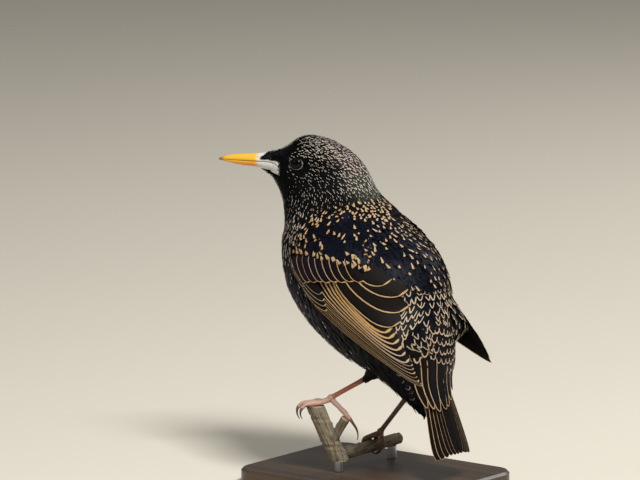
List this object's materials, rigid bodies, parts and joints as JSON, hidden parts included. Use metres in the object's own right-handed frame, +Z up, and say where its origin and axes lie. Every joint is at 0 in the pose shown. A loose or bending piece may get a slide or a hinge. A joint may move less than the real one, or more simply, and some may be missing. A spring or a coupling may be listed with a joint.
{
  "type": "common starling, still museum model on a perch and stand",
  "caption": "Life-size starling in spotted spring plumage, upright with its head turned, gripping a cut forked stem held by two short rods on a flat display base.",
  "frame": {"origin": "centre of the underside of the display base", "axes": "+Z up, -X the way the trunk faces, -Y the bird's left side"},
  "size_m": [0.1394, 0.088, 0.1786],
  "materials": {
    "plumage": "glossy blue-black feathers with buff and whitish tips and edges",
    "bill": "smooth yellow horn, pale grey at its base",
    "eye": "wet, nearly black brown eye",
    "leg": "scaly reddish skin, paler on the toes",
    "claw": "dark horn, paler at its root",
    "bark": "weathered hedge bark, grey-buff, with pale cut ends",
    "stand": "satin dark painted wood",
    "rod": "brushed steel"
  },
  "bodies": {
    "root": {"claw_left_hind": "claw", "claw_left_inner": "claw", "claw_left_middle": "claw", "claw_left_outer": "claw", "claw_right_hind": "claw", "claw_right_inner": "claw", "claw_right_middle": "claw", "claw_right_outer": "claw", "eye_left": "eye", "eye_right": "eye", "foot_left": "leg", "foot_right": "leg", "head": "plumage", "lower_bill": "bill", "neck": "plumage", "perch": "bark", "stand_base": "stand", "stand_rod_back": "rod", "stand_rod_front": "rod", "tail": "plumage", "tarsus_left": "leg", "tarsus_right": "leg", "thigh_left": "plumage", "thigh_right": "plumage", "torso": "plumage", "upper_bill": "bill", "wing_left": "plumage", "wing_right": "plumage"}
  },
  "joints": []
}
